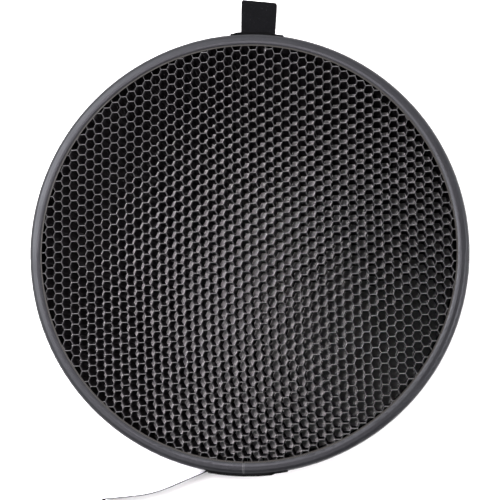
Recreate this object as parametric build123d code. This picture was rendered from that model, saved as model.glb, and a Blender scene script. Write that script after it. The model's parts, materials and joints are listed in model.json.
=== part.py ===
from build123d import *

import math
import os

# A round honeycomb grid for a 22-inch beauty dish: an expanded foil core in a metal hoop, a rubber edge
# trim over the hoop, and two hook-and-loop straps on its outer wall.
# Millimetres. z = 0 is the plane of the rear trim face, +Z comes out of the front face, and the grid's
# axis is the Z axis. +Y points at the short strap.

# Driving dimensions of the whole grid
outer_radius = 279.4
core_depth = 44.45
cell_size = 12.7

# Foil core
foil_thickness = 0.35
expansion_angle = 64.3        # of the slanted walls to the bonded ones; an even hexagon has 60
ribbon_slope = 1.4            # of the ribbons to the X axis, anticlockwise
ribbons_per_node = 2
column_bow = 6.0              # sideways lean of the columns, at the top and bottom of the grid
row_bow = -1.4                # rise of the rows at the left and right of the grid
wander = 0.5                  # how far the cells stray from an even lattice besides
wander_wave = 310.0
shortest_end_wall = 1.0

# Metal hoop, a U channel
hoop_gauge = 0.8
hoop_bend_radius = 2.2
hoop_flange_inner_radius = 263.4
hoop_joint_gap = 0.6

# Rubber trim, a U sleeve over the hoop
trim_gauge = 1.8
trim_lip_radius = 265.2
trim_lip_height = 0.6
trim_land = (269.5, 273.5)    # radii of the flat ring on the crown
trim_joint_gap = 0.5

# Joint of hoop and trim, and the splice behind it
joint_angle = -90.5
splice_gauge = 0.8
splice_half_length = 12.0
splice_half_height = 17.0
splice_rivet_radius = 1.6
splice_rivet_head = (3.0, 0.55)   # radius and rise
splice_rivet_columns = (-6.5, 6.5)
splice_rivet_rows = (-10.0, 10.0)

# Straps
strap_width = 45.0
strap_thickness = 1.3
strap_bottom = 2.3
corner_radius = 3.0
short_strap_angle = 87.7
short_patch_span = (80.0, 94.1)
short_root_half_angle = 4.6
tab_hinge_radius = 283.0
tab_hinge_height = 1.0
tab_start = 1.0
tab_length = 50.4
long_patch_span = (-99.7, -79.2)
long_root_span = (-99.7, -83.5)
patch_step_angle = 0.5

# Free run of the long strap: where it leaves the patch, its heading, and its legs as (length, turn)
long_strap_angle = -100.0
long_strap_heading = 203.5
long_strap_legs = ((40.0, 0.0), (34.0, -9.0), (24.0, -7.5), (34.0, -3.5), (12.0, 52.0), (20.0, 8.0))
liner_thickness = 0.4

# Blind rivets through strap, trim and hoop
strap_rivet_radius = 2.0
strap_rivet_head = (4.2, 1.5)     # radius and rise
strap_rivet_tail = (2.8, 12.8)    # radius and length
short_rivet_angle = 84.9
long_rivet_angle = -86.3
foil_hole = (3.2, 17.0)       # radius, and depth inward from the core's edge

# Clearances
core_clearance = 0.7          # from the core's edge to the splice plate
rivet_clearance = 0.02        # from a splice rivet to the faces it fills
cut_margin = 1.0              # how far a cutting bar runs past the faces it cuts

# Worked out from the above
height = core_depth + 2 * (hoop_gauge + trim_gauge)
middle = height / 2
hoop_radius = outer_radius - trim_gauge
web_radius = hoop_radius - hoop_gauge
splice_radius = web_radius - splice_gauge
core_radius = splice_radius - core_clearance
core_bottom = trim_gauge + hoop_gauge
strap_seat = outer_radius + 2 * strap_thickness
strap_rivet_angles = (short_rivet_angle, long_rivet_angle)
cell_wall = cell_size / math.sqrt(3)
column_step = cell_wall * (1 + math.cos(math.radians(expansion_angle)))
level_step = cell_wall * math.sin(math.radians(expansion_angle))
STANDING = (Align.CENTER, Align.CENTER, Align.MIN)


def polar(radius, degrees):
    """The point at a radius and an angle about the grid's axis."""
    turn = math.radians(degrees)
    return Vector(radius * math.cos(turn), radius * math.sin(turn))


def extrude_up(face, bottom, amount):
    """A flat face in the XY plane, extruded upward from a height."""
    return Pos(0, 0, bottom) * extrude(face, amount=amount, dir=(0, 0, 1))


def closed_face(points):
    """The flat face inside a closed outline of straight sides."""
    return make_face(Polyline(*points, close=True))


# ---------------------------------------------------------------- foil core

def lattice_point(x, level):
    """A point of the foil lattice, bowed and uneven as expanded foil is, then sloped."""
    y = level * level_step
    wave = 2 * math.pi / wander_wave
    x_out = x + column_bow * (y / core_radius) ** 2 + wander * math.sin(wave * y) * math.cos(wave * x)
    y_out = y + row_bow * (x / core_radius) ** 2 + wander * math.sin(wave * x) * math.cos(wave * y)
    return Vector(x_out, y_out).rotate(Axis.Z, ribbon_slope)


def ribbon_path(index):
    """The corners that a ribbon folds at, and whether each wall after a corner is low, high or slanted."""
    columns = math.ceil(core_radius / column_step) + 1
    corners = []
    kinds = []
    for column in range(-columns, columns + 1):
        level = index + (index + column) % 2
        for side in (-1, 1):
            corners.append(lattice_point(column * column_step + side * cell_wall / 2, level))
        kinds += ["low" if level == index else "high", "slant"]
    return corners, kinds[:-1]


def cut_to_core(corners, kinds):
    """The middle stretch of a ribbon inside the core's circle, its end walls cut at the circle."""
    inside = [corner.length < core_radius for corner in corners]
    centre = min(range(len(corners)), key=lambda i: corners[i].length)
    if not inside[centre]:
        return [], []
    first = centre
    while inside[first - 1]:
        first -= 1
    last = centre
    while inside[last + 1]:
        last += 1
    path = corners[first:last + 1]
    walls = kinds[first:last]
    before = circle_crossing(path[0], corners[first - 1])
    after = circle_crossing(path[-1], corners[last + 1])
    if (before - path[0]).length > shortest_end_wall:
        path.insert(0, before)
        walls.insert(0, kinds[first - 1])
    else:
        path[0] += (path[1] - path[0]).normalized() * foil_thickness
    if (after - path[-1]).length > shortest_end_wall:
        path.append(after)
        walls.append(kinds[last])
    else:
        path[-1] += (path[-2] - path[-1]).normalized() * foil_thickness
    return path, walls


def circle_crossing(inner, outer):
    """Where the straight line from an inner point to an outer one crosses the core's circle."""
    step = outer - inner
    along = inner.dot(step)
    reach = core_radius ** 2 - inner.dot(inner)
    share = (math.sqrt(along ** 2 + step.dot(step) * reach) - along) / step.dot(step)
    return inner + step * share


def side_points(path, offsets):
    """One side of a ribbon: each wall's line moved to the left by its offset, and mitred to the next."""
    points = []
    normals = [(end - start).normalized().rotate(Axis.Z, 90) for start, end in zip(path, path[1:])]
    points.append(path[0] + normals[0] * offsets[0])
    for i in range(1, len(path) - 1):
        n_in, n_out = normals[i - 1], normals[i]
        cross = n_in.X * n_out.Y - n_in.Y * n_out.X
        x = (offsets[i - 1] * n_out.Y - offsets[i] * n_in.Y) / cross
        y = (offsets[i] * n_in.X - offsets[i - 1] * n_out.X) / cross
        points.append(path[i] + Vector(x, y))
    points.append(path[-1] + normals[-1] * offsets[-1])
    return points


def foil_ribbon(index):
    """One corrugated foil ribbon. Its bonded walls lie against the next ribbon's, face to face."""
    path, walls = cut_to_core(*ribbon_path(index))
    if not path:
        return None
    upper = {"low": foil_thickness, "slant": foil_thickness / 2, "high": 0}
    left = side_points(path, [upper[wall] for wall in walls])
    right = side_points(path, [upper[wall] - foil_thickness for wall in walls])
    return extrude_up(closed_face(right + left[::-1]), core_bottom, core_depth)


def drilled(ribbon, holes):
    """A ribbon with the rivet holes cut through it, where it is near enough to meet them."""
    box = ribbon.bounding_box()
    for hole in holes:
        reach = hole.bounding_box()
        if reach.min.Y < box.max.Y and reach.max.Y > box.min.Y:
            ribbon = ribbon - hole
    return ribbon


def foil_nodes():
    """The ribbons of the core from -Y to +Y, a few to each node."""
    hole_radius, hole_depth = foil_hole
    holes = [radial_bar(angle, middle, hole_radius, core_radius - hole_depth, core_radius + cut_margin)
             for angle in strap_rivet_angles]
    levels = math.ceil(core_radius / level_step) + 1
    ribbons = [foil_ribbon(index) for index in range(-levels, levels)]
    ribbons = [drilled(ribbon, holes) for ribbon in ribbons if ribbon]
    nodes = {}
    for start in range(0, len(ribbons), ribbons_per_node):
        name = f"foil_ribbons_{start // ribbons_per_node + 1:02d}"
        nodes[name] = solids_of(ribbons[start:start + ribbons_per_node])
    return nodes


# ---------------------------------------------------------------- hoop and trim

def ring(section, gap):
    """A section in the XZ plane revolved about the grid's axis, but for a gap at the joint."""
    half_gap = math.degrees(gap / 2 / outer_radius)
    turned = revolve(section, Axis.Z, 360 - 2 * half_gap)
    return Rot(0, 0, joint_angle + half_gap) * turned


def corner_arc(start, centre, end):
    """The shorter arc in the XZ plane from one point to another round a centre, as (x, z) pairs."""
    radius = math.dist(start, centre)
    toward = (start[0] + end[0] - 2 * centre[0], start[1] + end[1] - 2 * centre[1])
    scale = radius / math.hypot(*toward)
    mid = (centre[0] + toward[0] * scale, centre[1] + toward[1] * scale)
    return ThreePointArc(*[(x, 0, z) for x, z in (start, mid, end)])


def both_halves(edges):
    """The face inside half an outline that ends on the middle height, with its mirror image below."""
    upper = make_face(edges)
    return upper + mirror(upper, Plane.XY.offset(middle))


def hoop_edges(radius, inset, bend):
    """Half of one side of the hoop's U, from the flange's edge round the bend to the middle height."""
    top = height - inset
    turn = radius - bend
    return [Line((hoop_flange_inner_radius, 0, top), (turn, 0, top)),
            corner_arc((turn, top), (turn, top - bend), (radius, top - bend)),
            Line((radius, 0, top - bend), (radius, 0, middle))]


def rim_hoop():
    """The metal U channel that grips the edge of the core, open by a hair at its butt joint."""
    outer = hoop_edges(hoop_radius, trim_gauge, hoop_bend_radius)
    inner = hoop_edges(web_radius, core_bottom, hoop_bend_radius - hoop_gauge)
    lip = Line(outer[0] @ 0, inner[0] @ 0)
    meet = Line(outer[2] @ 1, inner[2] @ 1)
    hoop = ring(both_halves([*outer, *inner, lip, meet]), hoop_joint_gap)
    start, stop = web_radius - cut_margin, hoop_radius + cut_margin
    for angle in strap_rivet_angles:
        hoop -= radial_bar(angle, middle, strap_rivet_radius, start, stop)
    for angle, z in splice_rivet_places():
        hoop -= radial_bar(angle, z, splice_rivet_radius, start, stop)
    return hoop


def edge_trim():
    """The rubber sleeve: crowned front and back, thin lips on the hoop's flanges, a butt joint below."""
    land_in, land_out = trim_land
    lip_top = height - trim_gauge + trim_lip_height
    crown_rise = height - lip_top
    crown_run = land_in - trim_lip_radius
    crown_radius = (crown_run ** 2 + crown_rise ** 2) / (2 * crown_rise)
    shoulder = outer_radius - land_out
    inner = hoop_edges(hoop_radius, trim_gauge, hoop_bend_radius)
    flat = Line((trim_lip_radius, 0, height - trim_gauge), inner[0] @ 1)
    edges = [flat, inner[1], inner[2],
             Line((hoop_radius, 0, middle), (outer_radius, 0, middle)),
             Line((outer_radius, 0, middle), (outer_radius, 0, height - shoulder)),
             corner_arc((outer_radius, height - shoulder), (land_out, height - shoulder), (land_out, height)),
             Line((land_out, 0, height), (land_in, 0, height)),
             corner_arc((land_in, height), (land_in, height - crown_radius), (trim_lip_radius, lip_top)),
             Line((trim_lip_radius, 0, lip_top), (trim_lip_radius, 0, height - trim_gauge))]
    trim = ring(both_halves(edges), trim_joint_gap)
    for angle in strap_rivet_angles:
        trim -= strap_rivet_hole(angle)
    return trim


# ---------------------------------------------------------------- rivets

def radial_bar(angle, z, radius, inner, outer):
    """A round bar that points away from the grid's axis, between two distances from it."""
    turn = Rot(0, 0, angle)
    bar = Pos(inner, 0, z) * Rot(0, 90, 0) * Cylinder(radius, outer - inner, align=STANDING)
    return turn * bar


def radial_dome(angle, z, radius, rise, base):
    """A low domed rivet head on a flat seat, pointing away from the grid's axis, or towards it."""
    ball = (radius ** 2 + rise ** 2) / (2 * abs(rise))
    side = math.copysign(1, rise)
    cap = Pos(base + rise - side * ball, 0, z) * Sphere(ball)
    seat = Pos(base + rise / 2, 0, z) * Box(abs(rise), 3 * radius, 3 * radius)
    return Rot(0, 0, angle) * (cap & seat)


def splice_rivet_places():
    """The angle and height of each rivet of the splice."""
    return [(joint_angle + math.degrees(along / web_radius), middle + z)
            for along in splice_rivet_columns for z in splice_rivet_rows]


def splice_plate():
    """The curved plate inside the hoop that bridges its butt joint."""
    half_angle = math.degrees(splice_half_length / web_radius)
    plate = strip(splice_radius, web_radius, joint_angle - half_angle, joint_angle + half_angle,
                  middle - splice_half_height, 2 * splice_half_height)
    start, stop = splice_radius - cut_margin, web_radius + cut_margin
    for angle, z in splice_rivet_places():
        plate -= radial_bar(angle, z, splice_rivet_radius, start, stop)
    return plate


def splice_rivets():
    """The flush rivets of the splice, with low heads inside the hoop."""
    head_radius, head_rise = splice_rivet_head
    seat_radius = splice_radius - rivet_clearance
    rivets = []
    for angle, z in splice_rivet_places():
        shank = radial_bar(angle, z, splice_rivet_radius, seat_radius, hoop_radius - rivet_clearance)
        head = radial_dome(angle, z, head_radius, -head_rise, seat_radius)
        rivets.append(shank + head)
    return solids_of(rivets)


def blind_rivet(angle):
    """A blind rivet through a strap: a domed head outside, and the tail drawn up inside the hoop."""
    head_radius, head_rise = strap_rivet_head
    tail_radius, tail_length = strap_rivet_tail
    head = radial_dome(angle, middle, head_radius, head_rise, strap_seat)
    shank = radial_bar(angle, middle, strap_rivet_radius, web_radius - cut_margin, strap_seat + head_rise / 2)
    tail = radial_bar(angle, middle, tail_radius, web_radius - tail_length, web_radius - rivet_clearance)
    tip = Rot(0, 0, angle) * Pos(web_radius - tail_length, 0, middle) * Sphere(tail_radius)
    return head + shank + tail + tip


# ---------------------------------------------------------------- straps

def strip(inner, outer, start, end, bottom, tall):
    """A strip of even thickness on edge, wrapped round the grid between two angles."""
    half = (start + end) / 2
    edges = [ThreePointArc(polar(inner, start), polar(inner, half), polar(inner, end)),
             Line(polar(inner, end), polar(outer, end)),
             ThreePointArc(polar(outer, end), polar(outer, half), polar(outer, start)),
             Line(polar(outer, start), polar(inner, start))]
    return extrude_up(make_face(edges), bottom, tall)


def stepped_side(radius, span, lifted):
    """One side of a patch: low at the free ends, and raised by a strap's thickness over the root."""
    raised = radius + strap_thickness
    (start, end), (lift, drop) = span, lifted
    edges = []
    if lift > start:
        edges.append(arc_at(radius, start, lift - patch_step_angle))
        edges.append(Line(polar(radius, lift - patch_step_angle), polar(raised, lift)))
    edges.append(arc_at(raised, max(lift, start), drop))
    edges.append(Line(polar(raised, drop), polar(radius, drop + patch_step_angle)))
    edges.append(arc_at(radius, drop + patch_step_angle, end))
    return edges


def arc_at(radius, start, end):
    """The arc about the grid's axis between two angles."""
    return ThreePointArc(polar(radius, start), polar(radius, (start + end) / 2), polar(radius, end))


def patch(span, lifted, rivet_angle):
    """The outer strip of a strap's fixing. It lies on the trim, and steps up over the strap's root."""
    inner = stepped_side(outer_radius, span, lifted)
    outer = stepped_side(outer_radius + strap_thickness, span, lifted)
    ends = [Line(inner[0] @ 0, outer[0] @ 0), Line(inner[-1] @ 1, outer[-1] @ 1)]
    body = extrude_up(make_face(inner + outer + ends), strap_bottom, strap_width)
    return body - strap_rivet_hole(rivet_angle)


def strap_root(span, rivet_angle):
    """The riveted end of a strap, between the trim and the patch."""
    root = strip(outer_radius, outer_radius + strap_thickness, *span, strap_bottom, strap_width)
    return root - strap_rivet_hole(rivet_angle)


def strap_rivet_hole(angle):
    """The bar that a strap's rivet hole is cut with, through the trim too."""
    return radial_bar(angle, middle, strap_rivet_radius, hoop_radius - cut_margin, strap_seat + cut_margin)


def short_strap_tab():
    """The free end of the short strap, lying outward from the grid's rear edge, its far corners round."""
    tab = Box(strap_width, tab_length, strap_thickness, align=(Align.CENTER, Align.MIN, Align.CENTER))
    far = tab.edges().filter_by(Axis.Z).sort_by(Axis.Y)[-2:]
    tab = fillet(far, corner_radius)
    return Rot(0, 0, short_strap_angle - 90) * Pos(0, tab_hinge_radius + tab_start, tab_hinge_height) * tab


def leg_ends(start, heading, legs):
    """The start point and heading of every leg of a run, and of the end of the last."""
    places = [(start, heading)]
    for length, turn in legs:
        point, heading = places[-1]
        if turn:
            radius = length / math.radians(turn)
            centre = point + polar(radius, heading + 90)
            point = centre - polar(radius, heading + 90 + turn)
        else:
            point = point + polar(length, heading)
        places.append((point, heading + turn))
    return places


def run_side(places, legs, offset):
    """The edges of one side of a run, each leg a straight line or an arc, moved left by an offset."""
    edges = []
    for (point, heading), (end, end_heading), (length, turn) in zip(places, places[1:], legs):
        start = point + polar(offset, heading + 90)
        stop = end + polar(offset, end_heading + 90)
        if turn:
            radius = length / math.radians(turn)
            centre = point + polar(radius, heading + 90)
            halfway = centre - polar(radius - offset, heading + 90 + turn / 2)
            edges.append(ThreePointArc(start, halfway, stop))
        else:
            edges.append(Line(start, stop))
    return edges


def band(places, legs, right, left):
    """A band of even thickness along a run, standing on edge."""
    side_a = run_side(places, legs, right)
    side_b = run_side(places, legs, left)
    ends = [Line(side_a[0] @ 0, side_b[0] @ 0), Line(side_a[-1] @ 1, side_b[-1] @ 1)]
    return extrude_up(make_face(side_a + side_b + ends), strap_bottom, strap_width)


def long_strap_places():
    """Where each leg of the long strap's free run starts, from the end of its patch."""
    start = polar(outer_radius + 1.5 * strap_thickness, long_strap_angle)
    return leg_ends(start, long_strap_heading, long_strap_legs)


def long_strap_free():
    """The free run of the long strap, standing on edge beside the grid and curling at its end."""
    half = strap_thickness / 2
    return band(long_strap_places(), long_strap_legs, -half, half)


def long_strap_liner():
    """The backing film on the free run, on the side that faces the grid."""
    half = strap_thickness / 2
    return band(long_strap_places(), long_strap_legs, -half - liner_thickness, -half)


# ---------------------------------------------------------------- nodes

def solids_of(shapes):
    """A group of separate solids."""
    return Compound(children=[solid for shape in shapes for solid in shape.solids()])


short_lift = (short_strap_angle - short_root_half_angle, short_strap_angle + short_root_half_angle)

nodes = {
    "rim_hoop": rim_hoop(),
    "edge_trim": edge_trim(),
    "splice_plate": splice_plate(),
    "splice_rivets": splice_rivets(),
    "short_strap_patch": patch(short_patch_span, short_lift, short_rivet_angle),
    "short_strap_root": strap_root(short_lift, short_rivet_angle),
    "short_strap_rivet": blind_rivet(short_rivet_angle),
    "short_strap_tab": short_strap_tab(),
    "long_strap_patch": patch(long_patch_span, long_root_span, long_rivet_angle),
    "long_strap_root": strap_root(long_root_span, long_rivet_angle),
    "long_strap_rivet": blind_rivet(long_rivet_angle),
    "long_strap_free": long_strap_free(),
    "long_strap_liner": long_strap_liner(),
    **foil_nodes(),
}

os.makedirs("parts", exist_ok=True)
for name, shape in nodes.items():
    export_step(shape, f"parts/{name}.step", write_pcurves=False)
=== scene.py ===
import json
import math

import bpy
from mathutils import Matrix, Vector, noise


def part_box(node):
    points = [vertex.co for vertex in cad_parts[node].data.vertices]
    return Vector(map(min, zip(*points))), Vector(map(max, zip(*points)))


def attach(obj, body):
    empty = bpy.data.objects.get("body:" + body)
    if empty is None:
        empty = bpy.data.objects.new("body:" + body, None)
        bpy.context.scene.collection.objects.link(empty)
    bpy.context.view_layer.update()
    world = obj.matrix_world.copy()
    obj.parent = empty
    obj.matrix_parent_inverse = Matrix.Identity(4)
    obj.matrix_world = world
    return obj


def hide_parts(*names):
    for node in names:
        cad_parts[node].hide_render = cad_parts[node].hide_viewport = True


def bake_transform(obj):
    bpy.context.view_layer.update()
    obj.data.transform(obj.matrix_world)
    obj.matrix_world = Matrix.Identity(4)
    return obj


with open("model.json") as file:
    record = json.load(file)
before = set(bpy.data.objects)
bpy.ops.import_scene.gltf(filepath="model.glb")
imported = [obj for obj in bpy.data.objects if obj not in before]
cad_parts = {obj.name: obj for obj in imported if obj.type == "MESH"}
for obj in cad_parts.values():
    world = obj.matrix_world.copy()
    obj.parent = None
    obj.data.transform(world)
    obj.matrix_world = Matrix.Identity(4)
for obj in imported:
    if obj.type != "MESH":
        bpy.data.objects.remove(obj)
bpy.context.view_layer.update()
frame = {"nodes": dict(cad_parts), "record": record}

MM = 0.001
UP = Vector((0, 0, 1))


# ---------------------------------------------------------------- places, from the frame

def flat_direction(degrees):
    """The unit vector in the floor's plane at an angle from +X."""
    return Vector((math.cos(math.radians(degrees)), math.sin(math.radians(degrees)), 0))


TRIM_LOW, TRIM_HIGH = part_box("edge_trim")
FRONT_Z = TRIM_HIGH.z
RIM = TRIM_HIGH.x             # the trim's outer radius
STRAP_LOW, STRAP_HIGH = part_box("long_strap_root")
STRAP_WIDTH = STRAP_HIGH.z - STRAP_LOW.z
STRAP_MIDDLE = (STRAP_HIGH.z + STRAP_LOW.z) / 2
TAB_LOW, TAB_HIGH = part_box("short_strap_tab")
STRAP_THICK = TAB_HIGH.z - TAB_LOW.z
TAB_HEIGHT = (TAB_HIGH.z + TAB_LOW.z) / 2
JOINT_X = sum(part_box("splice_plate"), Vector()).x / 2   # where the trim's ends meet, on the -Y side
HINGES = {joint["name"]: Vector(joint["pos_m"]) for joint in frame["record"]["behaviour"]["joints"]}


# ---------------------------------------------------------------- node helpers

class Shader:
    """A material's node tree, with short ways to add a node and to link it."""

    def __init__(self, name):
        self.material = bpy.data.materials.new(name)
        self.material.use_nodes = True
        self.tree = self.material.node_tree
        self.bsdf = self.tree.nodes["Principled BSDF"]
        self.place = self.add("ShaderNodeTexCoord").outputs["Object"]

    def add(self, kind, **values):
        node = self.tree.nodes.new(kind)
        for name, value in values.items():
            setattr(node, name, value)
        return node

    def link(self, output, target):
        self.tree.links.new(output, target)

    def put(self, value, target):
        """Links an output to a socket, or sets the socket to a number or a colour."""
        if isinstance(value, bpy.types.NodeSocket):
            self.link(value, target)
        elif isinstance(value, tuple) and len(value) == 3:
            target.default_value = (*value, 1)
        else:
            target.default_value = value

    def noise(self, scale, detail=3.0, stretch=None):
        node = self.add("ShaderNodeTexNoise")
        node.inputs["Scale"].default_value = scale
        node.inputs["Detail"].default_value = detail
        self.link(self.stretched(stretch), node.inputs["Vector"])
        return node.outputs["Fac"]

    def stretched(self, stretch):
        if stretch is None:
            return self.place
        node = self.add("ShaderNodeMapping")
        node.inputs["Scale"].default_value = stretch
        self.link(self.place, node.inputs["Vector"])
        return node.outputs["Vector"]

    def cells(self, scale):
        node = self.add("ShaderNodeTexVoronoi")
        node.inputs["Scale"].default_value = scale
        self.link(self.place, node.inputs["Vector"])
        return node.outputs["Distance"]

    def ramp(self, value, low, high, to_low=0.0, to_high=1.0):
        node = self.add("ShaderNodeMapRange")
        self.put(value, node.inputs["Value"])
        node.inputs["From Min"].default_value = low
        node.inputs["From Max"].default_value = high
        node.inputs["To Min"].default_value = to_low
        node.inputs["To Max"].default_value = to_high
        return node.outputs["Result"]

    def math(self, operation, a, b=0.0):
        node = self.add("ShaderNodeMath", operation=operation)
        self.put(a, node.inputs[0])
        self.put(b, node.inputs[1])
        return node.outputs["Value"]

    def mix(self, share, a, b):
        node = self.add("ShaderNodeMix", data_type="RGBA")
        self.put(share, node.inputs["Factor"])
        self.put(a, node.inputs["A"])
        self.put(b, node.inputs["B"])
        return node.outputs["Result"]

    def bump(self, height, distance, strength=1.0, after=None):
        node = self.add("ShaderNodeBump")
        node.inputs["Strength"].default_value = strength
        node.inputs["Distance"].default_value = distance
        self.link(height, node.inputs["Height"])
        if after is not None:
            self.link(after, node.inputs["Normal"])
        return node.outputs["Normal"]

    def upward(self):
        """How far the surface faces up or down, from 0 on a wall to 1 on a level face."""
        node = self.add("ShaderNodeSeparateXYZ")
        self.link(self.add("ShaderNodeNewGeometry").outputs["True Normal"], node.inputs["Vector"])
        return self.math("ABSOLUTE", node.outputs["Z"])

    def near(self, x, core, reach):
        """1 within core of a place along X, fading to 0 at reach, and 0 all over the +Y side."""
        node = self.add("ShaderNodeSeparateXYZ")
        self.link(self.place, node.inputs["Vector"])
        off = self.math("ABSOLUTE", self.math("SUBTRACT", node.outputs["X"], x))
        lower_side = self.math("LESS_THAN", node.outputs["Y"], 0.0)
        return self.math("MULTIPLY", self.ramp(off, core, reach, to_low=1, to_high=0), lower_side)

    def set(self, **values):
        for name, value in values.items():
            self.put(value, self.bsdf.inputs[name.replace("_", " ")])
        return self.material


# ---------------------------------------------------------------- materials

def coated_foil():
    """Foil sprayed semi-matt black, with its cut edges worn to bare metal."""
    s = Shader("coated_foil")
    edge = s.ramp(s.upward(), 0.6, 0.8)
    blotch = s.noise(60, detail=4)
    fine = s.noise(900, detail=2)
    worn = s.ramp(s.noise(420, detail=3), 0.25, 0.5, 0.35, 1.0)
    black = s.mix(blotch, (0.020, 0.0180, 0.0202), (0.033, 0.030, 0.0334))
    bare = s.mix(s.noise(150, detail=3), (0.042, 0.041, 0.043), (0.145, 0.142, 0.147))
    colour = s.mix(s.math("MULTIPLY", edge, worn), black, bare)
    rough = s.ramp(blotch, 0.3, 0.7, 0.72, 0.88)
    return s.set(Base_Color=colour, Roughness=rough, Specular_IOR_Level=0.1,
                 Normal=s.bump(fine, 0.00006, 0.4))


def trim_rubber():
    """Dark grey rubber: fine grain, slow waves, a little dust, and a painted highlight as a paler line across
    its joint.
    """
    s = Shader("trim_rubber")
    blotch = s.noise(22, detail=5)
    grain = s.noise(1600, detail=2)
    dust = s.ramp(s.noise(300, detail=6), 0.52, 0.75)
    base = s.mix(blotch, (0.0034, 0.0034, 0.0040), (0.0060, 0.0060, 0.0070))
    colour = s.mix(s.math("MULTIPLY", dust, 0.2), base, (0.03, 0.03, 0.034))
    # painted highlight: a pale line across the trim at the joint, standing in for light caught by the cut
    # ends
    painted_joint_highlight = s.near(JOINT_X, 0.9 * MM, 1.5 * MM)
    colour = s.mix(s.math("MULTIPLY", painted_joint_highlight, 0.8), colour, (0.045, 0.045, 0.047))
    rough = s.ramp(blotch, 0.3, 0.7, 0.36, 0.46)
    broad = s.bump(s.noise(90, detail=3), 0.0004, 0.25)
    return s.set(Base_Color=colour, Roughness=rough, Specular_IOR_Level=0.28,
                 Specular_Tint=(0.90, 0.91, 1.0), Normal=s.bump(grain, 0.00015, 0.5, broad))


def hoop_metal():
    """Rolled aluminium channel with faint draw lines and handling marks."""
    s = Shader("hoop_metal")
    mottled = s.noise(240, detail=4)
    colour = s.mix(mottled, (0.012, 0.0105, 0.0097), (0.024, 0.0215, 0.0200))
    lines = s.noise(700, detail=3, stretch=(1, 1, 6))
    return s.set(Base_Color=colour, Roughness=s.ramp(mottled, 0.3, 0.7, 0.45, 0.65), Specular_IOR_Level=0.2,
                 Normal=s.bump(lines, 0.00008, 0.4))


def rivet_metal():
    """Satin aluminium rivets with drawn marks."""
    s = Shader("rivet_metal")
    marks = s.noise(1100, detail=4)
    colour = s.mix(marks, (0.42, 0.42, 0.43), (0.66, 0.66, 0.67))
    return s.set(Base_Color=colour, Metallic=0.9, Roughness=s.ramp(marks, 0.3, 0.7, 0.28, 0.48),
                 Normal=s.bump(marks, 0.0001, 0.4))


def strap_fabric():
    """Black woven tape with a dense pile: fine loops, warp lines along it, and a little lint."""
    s = Shader("strap_fabric")
    loops = s.cells(1500)
    tufts = s.noise(700, detail=3)
    lint = s.ramp(s.noise(420, detail=5), 0.66, 0.72)
    base = s.mix(s.noise(60, detail=4), (0.0010, 0.0010, 0.0014), (0.0026, 0.0026, 0.0034))
    colour = s.mix(s.math("MULTIPLY", lint, 0.35), base, (0.06, 0.06, 0.065))
    rough = s.ramp(tufts, 0.3, 0.7, 0.75, 0.95)
    pile = s.bump(tufts, 0.0006, 0.5, s.bump(loops, 0.0004, 0.6))
    return s.set(Base_Color=colour, Roughness=rough, Specular_IOR_Level=0.05, Sheen_Weight=0.015,
                 Sheen_Roughness=0.5, Normal=pile)


def backing_film():
    """Pale backing film, faintly lilac, with soft creases."""
    s = Shader("backing_film")
    cloudy = s.noise(45, detail=4)
    colour = s.mix(cloudy, (0.70, 0.69, 0.78), (0.82, 0.81, 0.88))
    creases = s.bump(s.noise(120, detail=5, stretch=(1, 1, 0.3)), 0.0006, 0.35)
    return s.set(Base_Color=colour, Roughness=s.ramp(cloudy, 0.3, 0.7, 0.34, 0.5), Normal=creases)


# ---------------------------------------------------------------- carried-over CAD parts

def dress(material, *names):
    """Gives CAD nodes their finish."""
    for name in names:
        node = frame["nodes"][name]
        node.data.materials.clear()
        node.data.materials.append(material)


def dress_cad():
    foils = [name for name in frame["nodes"] if name.startswith("foil_ribbons")]
    dress(coated_foil(), *foils)
    dress(trim_rubber(), "edge_trim")
    dress(hoop_metal(), "rim_hoop", "splice_plate")
    dress(rivet_metal(), "splice_rivets", "short_strap_rivet", "long_strap_rivet")


# ---------------------------------------------------------------- straps

GRAIN = 0.9 * MM              # spacing of the cloth's vertices
SELVEDGE = 2.2 * MM           # width of the tape's thin woven edge
SELVEDGE_SHARE = 0.62         # how thick the selvedge is, of the tape
EDGE_SHARE = 0.45             # how thick the selvedge is at its very edge, of itself
PILE_SHARE = 0.12             # how far the thickness strays with the pile
PILE_SCALE = 700
CORNER = 3 * MM               # radius of the corners at a strap's tip

PATCH_RAMP = 1.1              # degrees over which a patch steps up onto a strap's root
PATCH_STANDOFF = 0.52         # from the trim to the middle of a patch, in strap thicknesses
DIMPLE_RADIUS = 7 * MM        # of the dip at a rivet
DIMPLE_DEPTH = 0.25 * MM
RIPPLE = 0.15 * MM            # height of a patch's slow unevenness

BEND = 2.6 * MM               # radius of the short strap's bend, from the rim to the floor
SETTLING = 12 * MM            # how much of it goes from the rim's curve to flat
TAB_SPREAD = 0.05             # how much wider it is at its tip
TAB_SKEW = 0.09               # slant of its tip
TAB_RISE = 0.5 * MM           # how far the flat run stands off the floor, and strays from that
TAB_WAVE = 0.4 * MM


def angle_of(point):
    return math.degrees(math.atan2(point.y, point.x))


def smooth_step(value, low, high):
    share = min(max((value - low) / (high - low), 0), 1)
    return share * share * (3 - 2 * share)


def on_rim(radius, degrees, z):
    return flat_direction(degrees) * radius + UP * z


def half_thickness(across, width, place):
    """Half the tape's thickness: thin and rounded at its selvedges, and slightly uneven in its pile."""
    inward = width / 2 - abs(across)
    selvedge = SELVEDGE_SHARE + (1 - SELVEDGE_SHARE) * smooth_step(inward, 0.75 * SELVEDGE, SELVEDGE)
    rounded = EDGE_SHARE + (1 - EDGE_SHARE) * smooth_step(inward, 0, 1.2 * GRAIN)
    return STRAP_THICK / 2 * selvedge * rounded * (1 + PILE_SHARE * noise.noise(place * PILE_SCALE))


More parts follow.
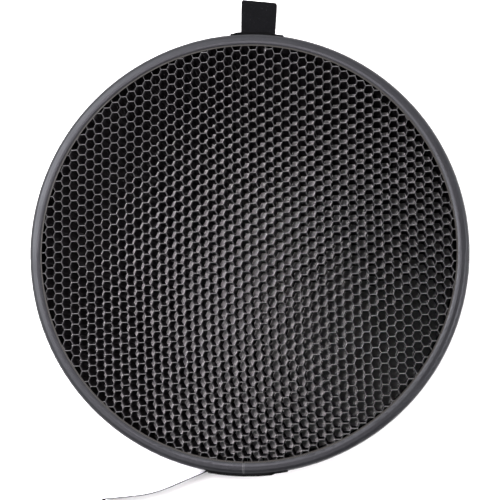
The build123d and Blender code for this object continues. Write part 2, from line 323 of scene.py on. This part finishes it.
def tape(name, place, length, width, half, end=lambda across: 0):
    """A closed strip about the surface place(along, across), shorter by end(across) at each place across."""
    rows, columns = round(length / GRAIN), round(width / GRAIN)
    sides = ([], [])
    for i in range(rows + 1):
        for j in range(columns + 1):
            across = width * (j / columns - 0.5)
            along = (length - end(across)) * i / rows
            point = place(along, across)
            lengthwise = place(along + GRAIN / 2, across) - place(along - GRAIN / 2, across)
            crosswise = place(along, across + GRAIN / 2) - place(along, across - GRAIN / 2)
            normal = lengthwise.cross(crosswise).normalized()
            reach = half(across, width, point) * (0.5 if i in (0, rows) else 1)
            sides[0].append(point + normal * reach)
            sides[1].append(point - normal * reach)
    return closed_strip(name, sides, rows, columns)


def closed_strip(name, sides, rows, columns):
    """The mesh of two facing grids of points, joined round their rims."""
    across = columns + 1
    back = len(sides[0])
    faces = []
    for i in range(rows):
        for j in range(columns):
            a = i * across + j
            quad = (a, a + across, a + across + 1, a + 1)
            faces.append(quad[::-1])
            faces.append(tuple(back + k for k in quad))
    rim = list(range(columns)) + [i * across + columns for i in range(rows)]
    rim += [rows * across + j for j in range(columns, 0, -1)] + [i * across for i in range(rows, 0, -1)]
    for a, b in zip(rim, rim[1:] + rim[:1]):
        faces.append((a, back + a, back + b, b)[::-1])
    mesh = bpy.data.meshes.new(name)
    mesh.from_pydata(sides[0] + sides[1], [], faces)
    mesh.polygons.foreach_set("use_smooth", [True] * len(mesh.polygons))
    mesh.validate()
    piece = bpy.data.objects.new(name, mesh)
    bpy.context.scene.collection.objects.link(piece)
    return piece


def finished(piece, material, slot, *nodes):
    """Gives a strap its finish, and has it stand for its CAD nodes."""
    piece.data.materials.append(material)
    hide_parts(*nodes)
    return piece


def round_corners(across):
    """How much shorter a strap is at a place across it, for the two round corners at its tip."""
    past = abs(across) - (STRAP_WIDTH / 2 - CORNER)
    return CORNER - math.sqrt(max(CORNER ** 2 - past ** 2, 0)) if past > 0 else 0


def patch(name, node, root, rivet, material):
    """The outer strip of a strap's fixing, wrapped on the rim, stepping up over the strap's root."""
    start, end = span_of(node)
    root_start, root_end = span_of(root)
    rivet_angle = angle_of(sum(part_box(rivet), Vector()))
    length = math.radians(end - start) * RIM
    starts_on_root = root_start < start + PATCH_RAMP

    def place(along, across):
        degrees = start + math.degrees(along / RIM)
        before = 1 if starts_on_root else smooth_step(degrees, root_start - PATCH_RAMP, root_start)
        lift = before * (1 - smooth_step(degrees, root_end, root_end + PATCH_RAMP))
        off = math.hypot(math.radians(degrees - rivet_angle) * RIM, across) / DIMPLE_RADIUS
        pressed = DIMPLE_DEPTH * math.exp(-off ** 2)
        ripple = RIPPLE * noise.noise(Vector((degrees * 0.8, across * 60, 0)))
        radius = RIM + STRAP_THICK * (PATCH_STANDOFF + lift) + ripple - pressed
        return on_rim(radius, degrees, STRAP_MIDDLE - across)

    piece = tape(name, place, length, STRAP_WIDTH, half_thickness)
    finished(piece, material, "strap_fabric", node)
    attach(piece, "grid")


def span_of(node):
    """The first and last angle of a node that wraps part of the rim."""
    angles = [angle_of(vertex.co) for vertex in frame["nodes"][node].data.vertices]
    return min(angles), max(angles)


def short_strap(material):
    """The short strap: down the rim under its patch, round a bend, and out along the floor."""
    hinge = HINGES["short_tab_fold"]
    degrees = angle_of(hinge)
    outward = flat_direction(degrees)
    sideways = outward.cross(UP)
    wall = RIM + STRAP_THICK / 2
    drop = STRAP_HIGH.z - (TAB_HEIGHT + BEND)
    curve = BEND * math.pi / 2
    reach = TAB_HIGH.y / outward.y - wall - BEND
    length = drop + curve + reach

    def place(along, across):
        if along < drop:
            out, z = 0, STRAP_HIGH.z - along
        elif along < drop + curve:
            turn = (along - drop) / BEND
            out, z = BEND * (1 - math.cos(turn)), TAB_HEIGHT + BEND * (1 - math.sin(turn))
        else:
            out, z = BEND + along - drop - curve, TAB_HEIGHT
        laid = smooth_step(along, drop, drop + SETTLING)
        spread = 1 + TAB_SPREAD * smooth_step(along, drop, length)
        round_rim = (1 - laid) * across ** 2 / (2 * RIM)
        rise = laid * (TAB_RISE + TAB_WAVE * noise.noise(Vector((along * 30, across * 40, 5))))
        return outward * (wall + out - round_rim) + sideways * across * spread + UP * (z + rise)

    def end(across):
        return TAB_SKEW * across + round_corners(across)

    piece = tape("short_strap", place, length, STRAP_WIDTH, half_thickness, end)
    finished(piece, material, "strap_fabric", "short_strap_tab", "short_strap_root")
    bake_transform(piece)


# Free run of the long strap, from its hinge: its heading there, and its legs as (length, turn to the left)
FREE_HEADING = 203.5
FREE_LEGS = ((40 * MM, 0), (34 * MM, -9), (24 * MM, -7.5), (34 * MM, -3.5), (12 * MM, 52), (20 * MM, 8))
FREE_LENGTH = sum(length for length, _ in FREE_LEGS)
CREASE = (4 * MM, 33)         # where the strap turns out from under its patch, as a leg
LOOSE = (5 * MM, 60 * MM)     # the stretch of the free run over which it starts to wave
LONG_WAVE = 0.9 * MM          # height of that wave

FILM_THICK = 0.25 * MM
FILM_START = 2.5 * MM         # from the start of the free run
FILM_WIDTH = STRAP_WIDTH - 0.6 * MM
FILM_LENGTH = FREE_LENGTH - FILM_START
PEELED = 14 * MM              # how much of the film's end has come away, and how far
PEEL = 1.4 * MM


def long_strap_path():
    """Where the strap runs: (place, heading) a grain apart, from its root's hidden end to its tip."""
    root_end = span_of("long_strap_root")[1]
    radius = RIM + STRAP_THICK / 2
    leaves_rim = FREE_HEADING - CREASE[1] + 90 - 360
    wrapped = root_end - leaves_rim
    legs = [(math.radians(wrapped) * radius, -wrapped), CREASE, *FREE_LEGS]
    point = on_rim(radius, root_end, STRAP_MIDDLE)
    heading = root_end - 90
    stations = [(point, heading)]
    for length, turn in legs:
        steps = round(length / GRAIN)
        for _ in range(steps):
            point = point + flat_direction(heading + turn / steps / 2) * (length / steps)
            heading += turn / steps
            stations.append((point, heading))
    return stations, sum(length for length, _ in legs)


def along_path(stations, length, along):
    """The place and heading at a distance along the path, which runs straight on past its ends."""
    at = along / length * (len(stations) - 1)
    i = min(max(int(at), 0), len(stations) - 2)
    (point, heading), (ahead, heading_ahead) = stations[i], stations[i + 1]
    turned = min(max(at - i, 0), 1)
    return point.lerp(ahead, at - i), heading + (heading_ahead - heading) * turned


def long_strap(fabric, film):
    """The long strap: round the rim under its patch, then free beside the grid, with its backing film."""
    stations, length = long_strap_path()
    free_start = length - FREE_LENGTH

    def place(along, across, offset=0):
        point, heading = along_path(stations, length, along)
        left = flat_direction(heading + 90)
        loose = smooth_step(along - free_start, *LOOSE)
        wave = loose * LONG_WAVE * noise.noise(Vector((along * 22, across * 18, 2)))
        return point + left * (wave + offset) - UP * across

    def film_place(along, across):
        peel = PEEL * smooth_step(along, FILM_LENGTH - PEELED, FILM_LENGTH) ** 2
        return place(free_start + FILM_START + along, across, -STRAP_THICK / 2 - FILM_THICK - peel)

    strap = tape("long_strap", place, length, STRAP_WIDTH, half_thickness, round_corners)
    finished(strap, fabric, "strap_fabric", "long_strap_free", "long_strap_root")
    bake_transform(strap)

    liner = tape("strap_liner", film_place, FILM_LENGTH, FILM_WIDTH, lambda *_: FILM_THICK / 2, round_corners)
    finished(liner, film, "backing_film", "long_strap_liner")
    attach(liner, "long_strap")


def make_straps():
    fabric = strap_fabric()
    patch("short_patch", "short_strap_patch", "short_strap_root", "short_strap_rivet", fabric)
    patch("long_patch", "long_strap_patch", "long_strap_root", "long_strap_rivet", fabric)
    short_strap(fabric)
    long_strap(fabric, backing_film())


# ---------------------------------------------------------------- camera, floor and light

CAMERA_PLACE = Vector((0.1545, -0.1282, FRONT_Z + 1.4745))
CAMERA_TARGET = Vector((0.0059, 0.0004, FRONT_Z))
FLOOR_GAP = 0.2 * MM          # below the trim

BRIGHT_SKY = 2.5              # strength of the room's light low down, and where it is dimmest
DIM_SKY = 0.25
SKY_FADE = (0.45, 0.85)       # cosines of the angles from the dimmest place between which it fades
DIM_SKY_TILT = 28             # degrees from straight up to the dimmest place
DIM_SKY_SIDE = -70            # its direction in the floor's plane

KEY_PLACE = Vector((-0.12, 0.015, 1.5))
SIDE_PLACE = Vector((-0.95, 0.42, 1.55))
FILL_PLACE = Vector((1.25, -0.15, 1.15))
KEY_FLAG_PLACE = Vector((0.066, -0.048, 0.9))
FLAG_GAP = 0.08               # from the camera up to the flag above it
FLAG_COLOUR = (0.02, 0.02, 0.02)


def look(obj, place, target):
    obj.location = place
    obj.rotation_mode = "QUATERNION"
    obj.rotation_quaternion = (Vector(target) - Vector(place)).to_track_quat("-Z", "Y")


def make_camera():
    """Above the grid, a little to its lower right, with the grid's +Y upward in the picture."""
    data = bpy.data.cameras.new("camera")
    data.lens = 85
    data.sensor_width = 36
    camera = bpy.data.objects.new("camera", data)
    bpy.context.scene.collection.objects.link(camera)
    ahead = (CAMERA_TARGET - CAMERA_PLACE).normalized()
    right = ahead.cross(Vector((0, 1, 0))).normalized()
    camera.matrix_world = Matrix((right, right.cross(ahead), -ahead)).transposed().to_4x4()
    camera.location = CAMERA_PLACE
    bpy.context.scene.camera = camera


def make_floor():
    """The pale floor that the grid lies on."""
    s = Shader("floor")
    s.set(Base_Color=s.mix(s.noise(3, detail=2), (0.94, 0.93, 0.94), (0.96, 0.95, 0.96)), Roughness=0.9)
    bpy.ops.mesh.primitive_plane_add(size=12, location=(0, 0, TRIM_LOW.z - FLOOR_GAP))
    floor = bpy.context.object
    floor.name = "floor"
    floor.data.materials.append(s.material)


def soft_light(name, place, size, power, colour):
    """A round light of a size across, aimed at the middle of the grid."""
    data = bpy.data.lights.new(name, "AREA")
    data.shape = "DISK"
    data.size = size
    data.energy = power
    data.color = colour
    light = bpy.data.objects.new(name, data)
    bpy.context.scene.collection.objects.link(light)
    look(light, place, (0, 0, 0))


def make_world():
    """A white room, bright low down, and dimmest a little to the lower right of overhead."""
    world = bpy.data.worlds.new("white_room")
    world.use_nodes = True
    tree = world.node_tree
    background = tree.nodes["Background"]
    background.inputs["Color"].default_value = (1, 1, 1, 1)
    tilt = math.radians(DIM_SKY_TILT)
    nearness = tree.nodes.new("ShaderNodeVectorMath")
    nearness.operation = "DOT_PRODUCT"
    nearness.inputs[1].default_value = flat_direction(DIM_SKY_SIDE) * math.sin(tilt) + UP * math.cos(tilt)
    fade = tree.nodes.new("ShaderNodeMapRange")
    tree.links.new(tree.nodes.new("ShaderNodeTexCoord").outputs["Generated"], nearness.inputs[0])
    tree.links.new(nearness.outputs["Value"], fade.inputs["Value"])
    tree.links.new(fade.outputs["Result"], background.inputs["Strength"])
    for socket, value in zip(("From Min", "From Max", "To Min", "To Max"), (*SKY_FADE, BRIGHT_SKY, DIM_SKY)):
        fade.inputs[socket].default_value = value
    bpy.context.scene.world = world


def make_flag(name, place, radius):
    """A dark round card, unseen by the camera, that keeps light off part of the grid."""
    rim = [flat_direction(degrees) * radius for degrees in range(0, 360, 10)]
    mesh = bpy.data.meshes.new(name)
    mesh.from_pydata(rim, [], [tuple(range(len(rim)))])
    flag = bpy.data.objects.new(name, mesh)
    bpy.context.scene.collection.objects.link(flag)
    flag.location = place
    flag.data.materials.append(Shader(name).set(Base_Color=FLAG_COLOUR, Roughness=0.9))
    flag.visible_camera = False


def make_lights():
    """The room, a soft light nearly overhead, a wide one to the upper left and a weaker one to the right."""
    make_world()
    bpy.context.scene.view_settings.view_transform = "Standard"
    soft_light("key", KEY_PLACE, size=0.30, power=11.8, colour=(1.0, 0.92, 0.96))
    soft_light("side", SIDE_PLACE, size=0.7, power=54, colour=(1.0, 1.0, 1.0))
    soft_light("fill", FILL_PLACE, size=0.6, power=20, colour=(1.0, 0.98, 1.0))
    make_flag("camera_flag", CAMERA_PLACE + UP * FLAG_GAP, radius=0.11)
    make_flag("key_flag", KEY_FLAG_PLACE, radius=0.07)


make_camera()
make_floor()
make_lights()
dress_cad()
make_straps()
